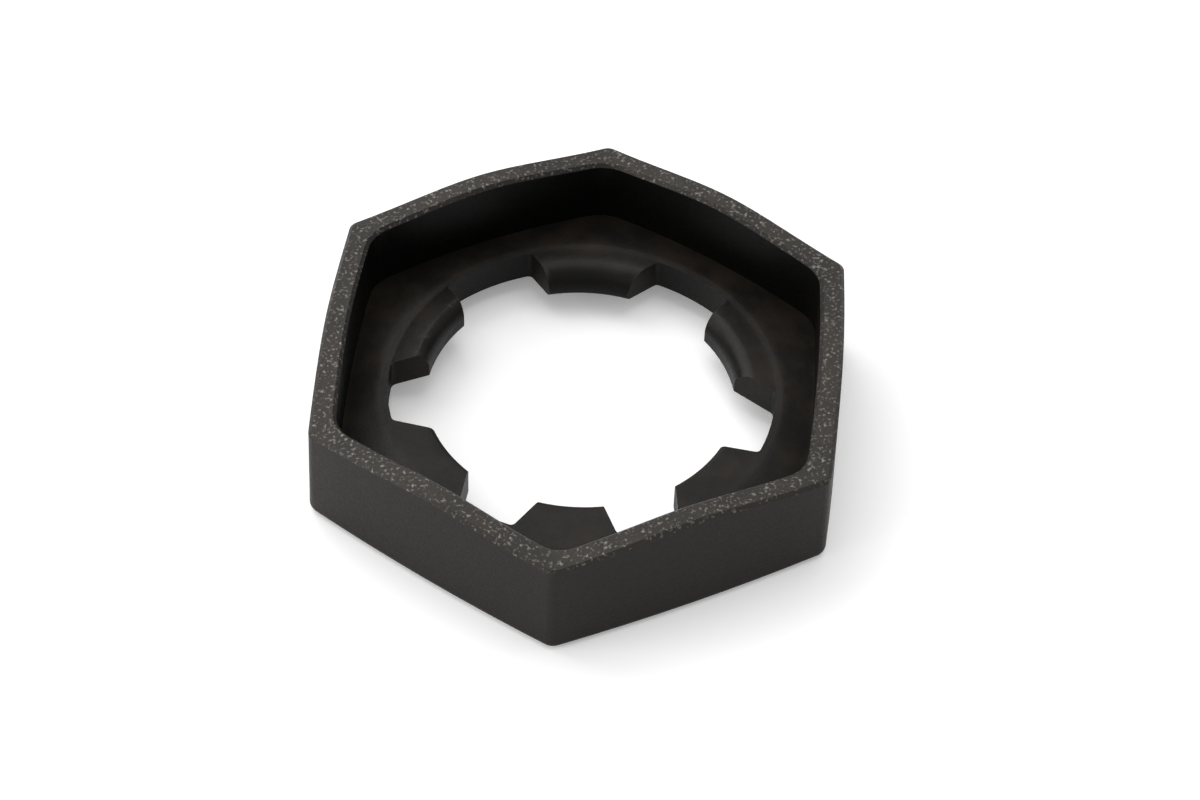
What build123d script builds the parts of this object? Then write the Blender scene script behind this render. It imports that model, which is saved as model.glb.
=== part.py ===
from build123d import *

import os
from math import atan, cos, degrees, radians, sqrt, tan

# Self-locking counter nut: a shallow hexagonal cup pressed from one piece of spring steel sheet.
# It stands open side up on its seat. The middle of its floor carries six teeth, cut free by slots,
# that grip the thread of a bolt. The origin is on the thread axis, at the level of the seat, and a
# corner of the hexagon points along +Y. Sizes are in millimetres and angles in degrees.

# Hexagonal wall
across_flats = 36.0  # from side to side at the rim, measured where the corners set it
side_bow = 0.33  # how far the middle of each side bulges out past its corners
wall_flare = 0.2  # how much further out the wall stands at its base than at the rim
rim_thickness = 1.7
corner_height = 8.1  # of the rim over the seat, at the corners
ear_rise = 0.8  # how much higher the rim stands at the middle of each side
outer_corner_radius = 1.1  # at the base
inner_corner_radius = 2.6
base_edge_radius = 0.7
rim_chamfer = 0.25

# Dished floor
cup_depth = 5.2  # from the rim down to the floor, in the corners of the cup
floor_thickness = 2.4  # round the teeth
dish_rise = 1.5  # how far the middle of the floor stands over the seat
seat_width = 1.8  # flat ring that the nut rests on, at the middle of a side
land_width = 0.6  # level ring between the dish and the slots

# Slots and teeth, one slot after another, anticlockwise
slot_directions = [58.0, 126.0, 188.2, 246.6, 295.1, 352.2]
slot_widths = [6.3, 7.1, 5.4, 4.2, 4.5, 5.8]  # at their roots
clockwise_flares = [0.0, 0.0, 1.0, 18.0, 2.0, 4.0]  # of one wall of each slot, from its direction
anticlockwise_flares = [11.0, 3.0, 17.0, 11.0, 15.0, 20.0]  # of the other wall
tooth_lifts = [0.3, 0.95, 0.0, 0.2, 0.15, 0.4]  # of the tip of the tooth anticlockwise of each slot
slot_root_diameter = 27.7
slot_root_radius = 0.4
thread_minor_diameter = 22.38  # M24 x 1.5
nose_top_radius = 1.0
nose_bottom_radius = 0.4

sides = 6
side_turn = 360 / sides
half_turn = side_turn / 2
overshoot = 1.0  # how far each cutting shape passes the faces that it cuts

rim_height = corner_height + ear_rise
blank_height = rim_height + overshoot
rim_reach = across_flats / 2
base_reach = rim_reach + wall_flare
inner_reach = rim_reach - rim_thickness
base_middle_reach = base_reach + side_bow
seat_radius = base_middle_reach - seat_width
cup_corner = inner_reach / cos(radians(half_turn))
slot_root = slot_root_diameter / 2
land_radius = slot_root + land_width
tooth_tip = thread_minor_diameter / 2
dish_top = dish_rise + floor_thickness
root_height = corner_height - cup_depth


def bowed_hexagon(level, reach, corner_radius):
    """A hexagon at a level, with its sides bowed outwards and its corners rounded."""
    corner = reach / cos(radians(half_turn))
    with BuildSketch(Plane.XY.offset(level)) as outline:
        with BuildLine():
            for side in range(sides):
                normal = side * side_turn
                ThreePointArc(
                    Vector(corner, 0).rotate(Axis.Z, normal - half_turn),
                    Vector(reach + side_bow, 0).rotate(Axis.Z, normal),
                    Vector(corner, 0).rotate(Axis.Z, normal + half_turn),
                )
        make_face()
        fillet(outline.vertices(), corner_radius)
    return outline.sketch


def runs_around(edge):
    """Whether an edge runs around the axis, and not towards it."""
    return abs(edge.tangent_at(0.5).dot(edge.center().normalized())) < 0.5

# Everything over one wavy side of the rim, out to the two corners beside it
side_length = 2 * base_middle_reach * tan(radians(half_turn))
with BuildPart() as rim_trim:
    with BuildSketch(Plane.YZ):
        with BuildLine():
            wave = Spline(
                (-side_length / 2, corner_height),
                (0, rim_height),
                (side_length / 2, corner_height),
                tangents=[(1, 0), (1, 0)],
            )
            Polyline(
                wave @ 1,
                (side_length / 2, blank_height + overshoot),
                (-side_length / 2, blank_height + overshoot),
                wave @ 0,
            )
        make_face()
    extrude(amount=side_length)
    with BuildSketch():
        Polygon((0, 0), (side_length, -side_length / sqrt(3)), (side_length, side_length / sqrt(3)), align=None)
    extrude(amount=blank_height + overshoot, mode=Mode.INTERSECT)

# Inside of the cup, over a floor that rises from its corners to the teeth
with BuildPart() as cup_inside:
    add(bowed_hexagon(dish_rise, inner_reach, inner_corner_radius))
    extrude(amount=blank_height)
    with BuildSketch(Plane.XZ):
        Polygon(
            (0, 0),
            (cup_corner, 0),
            (cup_corner, root_height),
            (land_radius, dish_top),
            (0, dish_top),
            align=None,
        )
    revolve(axis=Axis.Z, mode=Mode.SUBTRACT)

with BuildPart() as counter_nut:
    # Hexagonal blank, wider at its base, with a rounded base edge
    base = bowed_hexagon(0, base_reach, outer_corner_radius)
    extrude(base, amount=blank_height, taper=degrees(atan(wall_flare / rim_height)))
    fillet(counter_nut.edges().group_by(Axis.Z)[0], base_edge_radius)

    # Inside of the cup
    add(cup_inside.part, mode=Mode.SUBTRACT)

    # Wavy rim, with its edges broken
    with PolarLocations(0, sides):
        add(rim_trim.part, mode=Mode.SUBTRACT)
    rim_faces = counter_nut.faces().filter_by(lambda face: face.center().Z > corner_height)
    chamfer(rim_faces.edges().filter_by(runs_around), rim_chamfer)

    # Hollow under the floor, and the hole up to the roots of the slots
    with BuildSketch(Plane.XZ):
        Polygon((0, 0), (seat_radius, 0), (land_radius, dish_rise), (0, dish_rise), align=None)
    revolve(axis=Axis.Z, mode=Mode.SUBTRACT)
    Hole(slot_root)

    # Teeth, each from the middle of one slot to the middle of the next
    next_directions = slot_directions[1:] + slot_directions[:1]
    for direction, next_direction, lift in zip(slot_directions, next_directions, tooth_lifts):
        with BuildSketch(Plane.XZ.rotated((0, 0, direction))) as tooth_section:
            with BuildLine():
                Polyline(
                    (land_radius, dish_rise),
                    (slot_root, dish_rise),
                    (tooth_tip, dish_rise + lift),
                    (tooth_tip, dish_top + lift),
                    (slot_root, dish_top),
                    (land_radius, dish_top),
                    close=True,
                )
            make_face()
            nose = tooth_section.vertices().group_by(Axis.X)[0].sort_by(Axis.Z)
            fillet(nose[0], nose_bottom_radius)
            fillet(nose[1], nose_top_radius)
        revolve(axis=Axis.Z, revolution_arc=(next_direction - direction) % 360)

    # Slots, wider at their mouth than at their root
    with BuildSketch() as slot_outlines:
        for direction, width, clockwise_flare, anticlockwise_flare in zip(
            slot_directions, slot_widths, clockwise_flares, anticlockwise_flares
        ):
            with Locations(Rotation(0, 0, direction)):
                Polygon(
                    (0, -width / 2 - slot_root * tan(radians(clockwise_flare))),
                    (slot_root, -width / 2),
                    (slot_root + overshoot, -width / 2),
                    (slot_root + overshoot, width / 2),
                    (slot_root, width / 2),
                    (0, width / 2 + slot_root * tan(radians(anticlockwise_flare))),
                    align=None,
                )
        Circle(slot_root, mode=Mode.INTERSECT)
        root_corners = slot_outlines.vertices().sort_by_distance((0, 0, 0))[-2 * len(slot_directions):]
        fillet(root_corners, slot_root_radius)
    extrude(amount=rim_height, both=True, mode=Mode.SUBTRACT)

counter_nut.part.label = "counter_nut"
os.makedirs("parts", exist_ok=True)
export_step(counter_nut.part, "parts/counter_nut.step")
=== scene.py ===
# %% [markdown]
# # A pressed lock nut in blackened spring steel
#
# The object is a shallow six-sided cup, pressed from one piece of spring steel. The middle of its
# floor carries six teeth that grip the thread of a bolt. It lies on a white table, open side up.
# This lesson sets up the camera and the light, finishes the nut's shape, and gives it a worn black
# skin. The frame holds the nut as a plain CAD solid, at its real size.

# %% The frame
import bpy
from math import atan2, degrees, hypot, radians, sqrt
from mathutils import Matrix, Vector


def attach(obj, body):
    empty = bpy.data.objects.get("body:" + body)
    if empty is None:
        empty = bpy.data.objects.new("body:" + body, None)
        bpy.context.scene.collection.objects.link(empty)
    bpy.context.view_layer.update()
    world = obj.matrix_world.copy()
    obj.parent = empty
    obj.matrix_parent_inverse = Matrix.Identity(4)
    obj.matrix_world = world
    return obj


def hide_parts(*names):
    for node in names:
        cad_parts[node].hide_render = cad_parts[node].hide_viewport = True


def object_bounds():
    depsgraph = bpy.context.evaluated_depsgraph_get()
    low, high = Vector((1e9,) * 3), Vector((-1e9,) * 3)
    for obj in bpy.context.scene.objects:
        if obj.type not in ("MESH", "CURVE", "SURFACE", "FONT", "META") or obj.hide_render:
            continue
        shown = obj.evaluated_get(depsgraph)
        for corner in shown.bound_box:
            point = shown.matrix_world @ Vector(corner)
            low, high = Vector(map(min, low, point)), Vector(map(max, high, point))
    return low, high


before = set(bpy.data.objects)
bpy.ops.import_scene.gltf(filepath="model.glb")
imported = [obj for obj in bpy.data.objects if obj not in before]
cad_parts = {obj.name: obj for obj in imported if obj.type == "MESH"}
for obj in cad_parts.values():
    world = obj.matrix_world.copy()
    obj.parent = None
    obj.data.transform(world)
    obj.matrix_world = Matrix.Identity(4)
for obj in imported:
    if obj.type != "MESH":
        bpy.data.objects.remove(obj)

cad_low, cad_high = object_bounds()
MM = 0.001
print("size of the nut in mm:", [round(side / MM, 2) for side in cad_high - cad_low])

# %% [markdown]
# ## Camera
#
# A small object is photographed from a short distance with a long lens, so its far side looks only
# a little smaller than its near side. The camera stands in front of the nut and looks down on it
# at about 48 degrees, with its horizon tipped by a degree or two.

# %% Camera
camera_data = bpy.data.cameras.new("product_camera")
camera_data.sensor_width = 36.0
camera_data.lens = 99.2
camera_data.clip_start = 0.01
camera_data.clip_end = 10.0
camera = bpy.data.objects.new("product_camera", camera_data)
camera.location = (0.01113, -0.15901, 0.17872)
camera.rotation_euler = (radians(42.12), radians(-1.59), radians(5.275))
bpy.context.scene.collection.objects.link(camera)
bpy.context.scene.camera = camera
print("camera is", round((camera.location - (cad_low + cad_high) / 2).length / MM), "mm from the nut")

# %% [markdown]
# ## Table and light
#
# The table is plain white paper. Its own colour is a little under white, so that the soft shadow
# beside the nut stays visible, and it glows slightly towards the camera only, so that the paper
# away from the shadow is as white as in a catalogue.

# %% Table
table_size = 4.0
paper_white = 0.9
paper_glow = 0.22

bpy.ops.object.select_all(action="DESELECT")
bpy.ops.mesh.primitive_plane_add(size=table_size, location=(0, 0, cad_low.z))
table_top = bpy.context.object
table_top.name = "table_top"

paper = bpy.data.materials.new("white_paper")
paper.use_nodes = True
nodes = paper.node_tree.nodes
links = paper.node_tree.links
shader = nodes["Principled BSDF"]
shader.inputs["Base Color"].default_value = (paper_white, paper_white, paper_white, 1)
shader.inputs["Roughness"].default_value = 0.9
shader.inputs["Specular IOR Level"].default_value = 0.2
light_path = nodes.new("ShaderNodeLightPath")
glow = nodes.new("ShaderNodeEmission")
glow.inputs["Color"].default_value = (1, 1, 1, 1)
glow_strength = nodes.new("ShaderNodeMath")
glow_strength.operation = "MULTIPLY"
glow_strength.inputs[1].default_value = paper_glow
links.new(light_path.outputs["Is Camera Ray"], glow_strength.inputs[0])
links.new(glow_strength.outputs[0], glow.inputs["Strength"])
glowing_paper = nodes.new("ShaderNodeAddShader")
links.new(shader.outputs[0], glowing_paper.inputs[0])
links.new(glow.outputs[0], glowing_paper.inputs[1])
links.new(glowing_paper.outputs[0], nodes["Material Output"].inputs["Surface"])
table_top.data.materials.append(paper)
print("table:", table_top.name, "in", paper.name)

# %% [markdown]
# Black metal shows little but what it reflects, so the room matters more than the lamps. The room
# is an even grey, and seen by the camera itself it is white, like the table. Spot lamps would give
# the nut hard glints. Three large square lamps from the back, the left and above give it soft ones
# and a soft shadow to the right.

# %% Room
room_light = 0.6

world = bpy.data.worlds.new("studio")
world.use_nodes = True
bpy.context.scene.world = world
nodes = world.node_tree.nodes
links = world.node_tree.links
room = nodes["Background"]
room.inputs["Color"].default_value = (1, 1, 1, 1)
room.inputs["Strength"].default_value = room_light
backdrop = nodes.new("ShaderNodeBackground")
backdrop.inputs["Color"].default_value = (1, 1, 1, 1)
backdrop.inputs["Strength"].default_value = 1.0
light_path = nodes.new("ShaderNodeLightPath")
mix = nodes.new("ShaderNodeMixShader")
links.new(light_path.outputs["Is Camera Ray"], mix.inputs["Fac"])
links.new(room.outputs[0], mix.inputs[1])
links.new(backdrop.outputs[0], mix.inputs[2])
links.new(mix.outputs[0], nodes["World Output"].inputs["Surface"])
print("room light:", room_light)


# %% Lamps
def soft_box(name, place, size, power):
    """A square lamp that faces the nut, with its side in metres and its power in watts."""
    data = bpy.data.lights.new(name, "AREA")
    data.size = size
    data.energy = power
    lamp = bpy.data.objects.new(name, data)
    lamp.location = place
    lamp.rotation_euler = (-Vector(place)).to_track_quat("-Z", "Y").to_euler()
    bpy.context.scene.collection.objects.link(lamp)
    return lamp


soft_box("soft_box_back_left", (-0.5, 0.5, 0.75), 0.9, 6.0)
soft_box("soft_box_above", (0.1, 0.1, 1.1), 0.7, 2.5)
soft_box("soft_box_left", (-0.9, -0.35, 0.3), 0.6, 5.0)

bpy.context.scene.view_settings.view_transform = "Standard"

# %% [markdown]
# ## The body of the nut
#
# The real nut is punched and pressed, and then hardened, tumbled and blackened, so none of its
# edges is quite sharp, and tumbling has rubbed them brighter. The CAD solid has the right shape
# but knife edges. Its mesh could be rebuilt from small squares and smoothed, but then its flat
# walls turn wavy. A copy of the solid is joined up instead, its flat faces are cleared of needless
# edges, and later a bevel rounds the sharp ones.

# %% A copy of the solid, joined up
joining_distance = 0.002 * MM
flat_angle = radians(0.5)

cad_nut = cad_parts["counter_nut"]
nut = cad_nut.copy()
nut.data = cad_nut.data.copy()
nut.name = "pressed_nut"
nut.parent = None
for frame_note in list(nut.keys()):
    del nut[frame_note]
bpy.context.scene.collection.objects.link(nut)
bpy.ops.object.select_all(action="DESELECT")
nut.select_set(True)
bpy.context.view_layer.objects.active = nut
bpy.ops.object.mode_set(mode="EDIT")
bpy.ops.mesh.select_all(action="SELECT")
bpy.ops.mesh.customdata_custom_splitnormals_clear()
bpy.ops.mesh.remove_doubles(threshold=joining_distance)
bpy.ops.mesh.dissolve_limited(angle_limit=flat_angle)
bpy.ops.object.mode_set(mode="OBJECT")
print("joined up:", len(nut.data.polygons), "faces")

# %% [markdown]
# ## Folded teeth
#
# The press folds the tips of the back teeth down over a rounded tool, so their tops run into their
# inner faces in one wide curve. The tops are divided into small faces first, so that they can bend.
# Then every point of such a tooth that stands above the curve of the tool is pressed down to it.
# A new tooth could be modelled instead, but this keeps the slots and the floor as they are.

# %% The tops of the floor and the teeth, divided
top_cuts = 4
lowest_top, highest_top = 2.5 * MM, 5.0 * MM
facing_upwards = 0.9

bpy.ops.object.mode_set(mode="EDIT")
bpy.ops.mesh.select_all(action="DESELECT")
bpy.ops.object.mode_set(mode="OBJECT")
for face in nut.data.polygons:
    face.select = face.normal.z > facing_upwards and lowest_top < face.center.z < highest_top
bpy.ops.object.mode_set(mode="EDIT")
bpy.ops.mesh.quads_convert_to_tris()
bpy.ops.mesh.subdivide(number_cuts=top_cuts)
bpy.ops.object.mode_set(mode="OBJECT")
print("divided:", len(nut.data.polygons), "faces")

# %% Folded tooth tips
tip_radius = 11.19 * MM
floor_top = 3.9 * MM
# between which directions a tooth lies, in degrees, and in millimetres how much its tip is lifted
# and how far back and how far down its fold reaches
folds = [
    (58.0, 126.0, 0.3, 2.1, 1.75),
    (126.0, 188.2, 0.95, 1.9, 1.6),
    (-7.8, 58.0, 0.4, 1.7, 1.5),
]

pressed_together = 0.01 * MM

pressed = 0
for vertex in nut.data.vertices:
    reach = hypot(vertex.co.x, vertex.co.y)
    direction = degrees(atan2(vertex.co.y, vertex.co.x))
    if direction < -90:
        direction += 360
    for first, last, lift, back, down in folds:
        into_fold = 1 - (reach - tip_radius) / (back * MM)
        if first < direction < last and 0 < into_fold:
            drop = down * MM * (1 - sqrt(max(0, 1 - min(into_fold, 1) ** 2)))
            highest = floor_top + lift * MM - drop
            if vertex.co.z > highest:
                vertex.co.z = highest
                pressed += 1
bpy.ops.object.mode_set(mode="EDIT")
bpy.ops.mesh.select_all(action="SELECT")
bpy.ops.mesh.remove_doubles(threshold=pressed_together)
bpy.ops.object.mode_set(mode="OBJECT")
print("folded three teeth by moving", pressed, "points")

# %% [markdown]
# ## Rounded edges
#
# Tumbling rounds the edges and rubs them brighter. A bevel that works only on the sharp edges does
# the first, and it can give its new faces a second material, which does the other. That is surer
# than a shader that looks for edges, because it keeps to the edges whatever the mesh is like.

# %% Rounded edges
edge_width = 0.15 * MM
edge_steps = 2
sharp_angle = radians(38)

nut.data.materials.clear()
for name in ("black_oxide", "rubbed_oxide"):
    nut.data.materials.append(bpy.data.materials.new(name))
rounding = nut.modifiers.new("rounding", "BEVEL")
rounding.width = edge_width
rounding.segments = edge_steps
rounding.limit_method = "ANGLE"
rounding.angle_limit = sharp_angle
rounding.material = 1
bpy.ops.object.modifier_apply(modifier="rounding")
bpy.ops.object.shade_smooth_by_angle(angle=sharp_angle)
rubbed_faces = sum(face.material_index == 1 for face in nut.data.polygons)
print("rounded:", len(nut.data.polygons), "faces, of which", rubbed_faces, "are rubbed edges")

# %% [markdown]
# ## Blackened steel
#
# Black oxide is a thin, dark skin on the steel. It hardly scatters light, so the cup is dark inside,
# and painted shade on the inward walls makes it almost black there. What shows on the walls is mostly
# a faint, blurred reflection of the white table. Both the skin and the rubbed edges need a fine grain
# and clouds of brown. Each of the two is built once, as a node group with named inputs.

# %% Helpers for nodes
def effect(name, inputs, outputs):
    """A new shader node group with those sockets, and its two end nodes."""
    group = bpy.data.node_groups.new(name, "ShaderNodeTree")
    for socket_name, kind, value in inputs:
        socket = group.interface.new_socket(socket_name, in_out="INPUT", socket_type=kind)
        if value is not None:
            socket.default_value = value
    for socket_name, kind in outputs:
        group.interface.new_socket(socket_name, in_out="OUTPUT", socket_type=kind)
    return group, group.nodes.new("NodeGroupInput"), group.nodes.new("NodeGroupOutput")


def math_node(nodes, operation, second=None):
    """A math node, with its second number if that is fixed."""
    node = nodes.new("ShaderNodeMath")
    node.operation = operation
    if second is not None:
        node.inputs[1].default_value = second
    return node


def ramp_node(nodes, low, high):
    """Turns low into 0 and high into 1, and stops there."""
    node = nodes.new("ShaderNodeMapRange")
    node.inputs["From Min"].default_value = low
    node.inputs["From Max"].default_value = high
    return node


# %% [markdown]
# The grain is one noise, a fifth of a millimetre across. A second noise, a little coarser, leaves
# specks where grains of bare steel show through. They are only let through on the rim.

# %% Fine grain
grain, start, end = effect(
    "fine_grain",
    [
        ("Coordinates", "NodeSocketVector", None),
        ("Grains per Metre", "NodeSocketFloat", 5000.0),
        ("Speck Amount", "NodeSocketFloat", 0.8),
    ],
    [("Height", "NodeSocketFloat"), ("Specks", "NodeSocketFloat")],
)
nodes, links = grain.nodes, grain.links
noise = nodes.new("ShaderNodeTexNoise")
noise.inputs["Detail"].default_value = 3.0
noise.inputs["Roughness"].default_value = 0.65
links.new(start.outputs["Coordinates"], noise.inputs["Vector"])
links.new(start.outputs["Grains per Metre"], noise.inputs["Scale"])
links.new(noise.outputs["Fac"], end.inputs["Height"])
speck_noise = nodes.new("ShaderNodeTexNoise")
speck_noise.inputs["Detail"].default_value = 2.0
speck_scale = math_node(nodes, "MULTIPLY", 0.8)
links.new(start.outputs["Grains per Metre"], speck_scale.inputs[0])
links.new(speck_scale.outputs[0], speck_noise.inputs["Scale"])
links.new(start.outputs["Coordinates"], speck_noise.inputs["Vector"])
speck_ramp = ramp_node(nodes, 0.56, 0.75)
speck_ramp.inputs["To Min"].default_value = 0.1
links.new(speck_noise.outputs["Fac"], speck_ramp.inputs["Value"])
speck_level = math_node(nodes, "MULTIPLY")
links.new(speck_ramp.outputs[0], speck_level.inputs[0])
links.new(start.outputs["Speck Amount"], speck_level.inputs[1])
links.new(speck_level.outputs[0], end.inputs["Specks"])
print("group:", grain.name)

# %% [markdown]
# Black oxide is never even: it has patches with a tint of brown, a few millimetres across.

# %% Brown clouds
clouds, start, end = effect(
    "brown_clouds",
    [
        ("Coordinates", "NodeSocketVector", None),
        ("Clouds per Metre", "NodeSocketFloat", 260.0),
        ("Black", "NodeSocketColor", (0.0075, 0.0064, 0.0054, 1)),
        ("Brown", "NodeSocketColor", (0.018, 0.0135, 0.0100, 1)),
    ],
    [("Color", "NodeSocketColor"), ("Clouds", "NodeSocketFloat")],
)
nodes, links = clouds.nodes, clouds.links
noise = nodes.new("ShaderNodeTexNoise")
noise.inputs["Detail"].default_value = 5.0
noise.inputs["Roughness"].default_value = 0.6
links.new(start.outputs["Coordinates"], noise.inputs["Vector"])
links.new(start.outputs["Clouds per Metre"], noise.inputs["Scale"])
cloud_ramp = ramp_node(nodes, 0.42, 0.68)
links.new(noise.outputs["Fac"], cloud_ramp.inputs["Value"])
blend = nodes.new("ShaderNodeMix")
blend.data_type = "RGBA"
links.new(cloud_ramp.outputs[0], blend.inputs["Factor"])
links.new(start.outputs["Black"], blend.inputs["A"])
links.new(start.outputs["Brown"], blend.inputs["B"])
links.new(blend.outputs["Result"], end.inputs["Color"])
links.new(cloud_ramp.outputs[0], end.inputs["Clouds"])
print("group:", clouds.name)

# %% [markdown]
# The finish is made twice with one function, once for the faces and once for the rubbed edges,
# which differ only in how much steel shows. Where a face is on the nut sets its tint: the walls
# that look inwards get painted shade, the walls that look outwards an even warm grey, and the rim
# shows specks of steel. The position and the normal tell these apart, so no texture map is needed.

# %% The finish itself
# painted shade: the near-black colour of the walls that look inwards
painted_shade_black = (0.0012, 0.001, 0.0007, 1)
# an even warm grey for the walls that look outwards
outward_wall_grey = (0.014, 0.0108, 0.0098, 1)
bare_steel = (0.28, 0.26, 0.235, 1)
gloss, dullness = 0.36, 0.52
grain_depth = 0.05 * MM


def blackened(name, wear):
    """The black finish, with that much bare steel showing all over, less in the brown patches."""
    steel = bpy.data.materials[name]
    steel.use_nodes = True
    nodes, links = steel.node_tree.nodes, steel.node_tree.links
    shader = nodes["Principled BSDF"]
    shader.inputs["IOR"].default_value = 1.27
    where = nodes.new("ShaderNodeTexCoord")
    grain_here = nodes.new("ShaderNodeGroup")
    grain_here.node_tree = grain
    clouds_here = nodes.new("ShaderNodeGroup")
    clouds_here.node_tree = clouds
    links.new(where.outputs["Object"], grain_here.inputs["Coordinates"])
    links.new(where.outputs["Object"], clouds_here.inputs["Coordinates"])

    # the rim is high up and faces up
    height = nodes.new("ShaderNodeSeparateXYZ")
    links.new(where.outputs["Object"], height.inputs[0])
    rim_height = ramp_node(nodes, 7.4 * MM, 8.0 * MM)
    links.new(height.outputs["Z"], rim_height.inputs["Value"])
    surface = nodes.new("ShaderNodeNewGeometry")
    facing = nodes.new("ShaderNodeSeparateXYZ")
    links.new(surface.outputs["Normal"], facing.inputs[0])
    facing_up = ramp_node(nodes, 0.3, 0.9)
    links.new(facing.outputs["Z"], facing_up.inputs["Value"])
    rim_mask = math_node(nodes, "MULTIPLY")
    links.new(rim_height.outputs[0], rim_mask.inputs[0])
    links.new(facing_up.outputs[0], rim_mask.inputs[1])

    # the walls that look inwards are made blacker: painted shade for the inside of the cup
    outwards = nodes.new("ShaderNodeVectorMath")
    outwards.operation = "DOT_PRODUCT"
    links.new(where.outputs["Object"], outwards.inputs[0])
    links.new(surface.outputs["Normal"], outwards.inputs[1])
    inner_wall = ramp_node(nodes, -3.0 * MM, -11.0 * MM)
    links.new(outwards.outputs["Value"], inner_wall.inputs["Value"])
    outer_wall = ramp_node(nodes, 12.0 * MM, 17.0 * MM)
    links.new(outwards.outputs["Value"], outer_wall.inputs["Value"])
    painted_shade_mix = nodes.new("ShaderNodeMix")
    painted_shade_mix.data_type = "RGBA"
    painted_shade_mix.inputs["B"].default_value = painted_shade_black
    links.new(inner_wall.outputs[0], painted_shade_mix.inputs["Factor"])
    links.new(clouds_here.outputs["Color"], painted_shade_mix.inputs["A"])
    # the walls that look outwards get the even warm grey in place of the clouds
    outward_wall_tint = nodes.new("ShaderNodeMix")
    outward_wall_tint.data_type = "RGBA"
    outward_wall_tint.inputs["B"].default_value = outward_wall_grey
    links.new(outer_wall.outputs[0], outward_wall_tint.inputs["Factor"])
    links.new(painted_shade_mix.outputs["Result"], outward_wall_tint.inputs["A"])

    # bare steel in specks on the rim, and in patches along the edges
    rim_specks = math_node(nodes, "MULTIPLY")
    links.new(rim_mask.outputs[0], rim_specks.inputs[0])
    links.new(grain_here.outputs["Specks"], rim_specks.inputs[1])
    patches = ramp_node(nodes, 0.0, 1.0)
    patches.inputs["To Min"].default_value = wear
    patches.inputs["To Max"].default_value = wear * 0.3
    links.new(clouds_here.outputs["Clouds"], patches.inputs["Value"])
    bare = math_node(nodes, "MAXIMUM")
    links.new(patches.outputs[0], bare.inputs[0])
    links.new(rim_specks.outputs[0], bare.inputs[1])
    colour = nodes.new("ShaderNodeMix")
    colour.data_type = "RGBA"
    colour.inputs["B"].default_value = bare_steel
    links.new(bare.outputs[0], colour.inputs["Factor"])
    links.new(outward_wall_tint.outputs["Result"], colour.inputs["A"])
    links.new(colour.outputs["Result"], shader.inputs["Base Color"])
    links.new(bare.outputs[0], shader.inputs["Metallic"])

    # the grain changes the gloss a little and the relief more, most of all on the rim
    roughness = ramp_node(nodes, 0.3, 0.7)
    roughness.inputs["To Min"].default_value = gloss
    roughness.inputs["To Max"].default_value = dullness
    links.new(grain_here.outputs["Height"], roughness.inputs["Value"])
    links.new(roughness.outputs[0], shader.inputs["Roughness"])
    bump = nodes.new("ShaderNodeBump")
    bump.inputs["Distance"].default_value = grain_depth
    bump_strength = ramp_node(nodes, 0.0, 1.0)
    bump_strength.inputs["To Min"].default_value = 0.35
    bump_strength.inputs["To Max"].default_value = 1.0
    links.new(rim_mask.outputs[0], bump_strength.inputs["Value"])
    links.new(bump_strength.outputs[0], bump.inputs["Strength"])
    links.new(grain_here.outputs["Height"], bump.inputs["Height"])
    links.new(bump.outputs[0], shader.inputs["Normal"])
    print("finish:", name, "with", len(nodes), "nodes")


blackened("black_oxide", 0.0)
blackened("rubbed_oxide", 0.85)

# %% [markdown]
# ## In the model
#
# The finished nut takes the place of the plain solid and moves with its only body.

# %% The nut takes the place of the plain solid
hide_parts("counter_nut")
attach(nut, "root")
print(nut.name, "stands for", cad_nut.name)
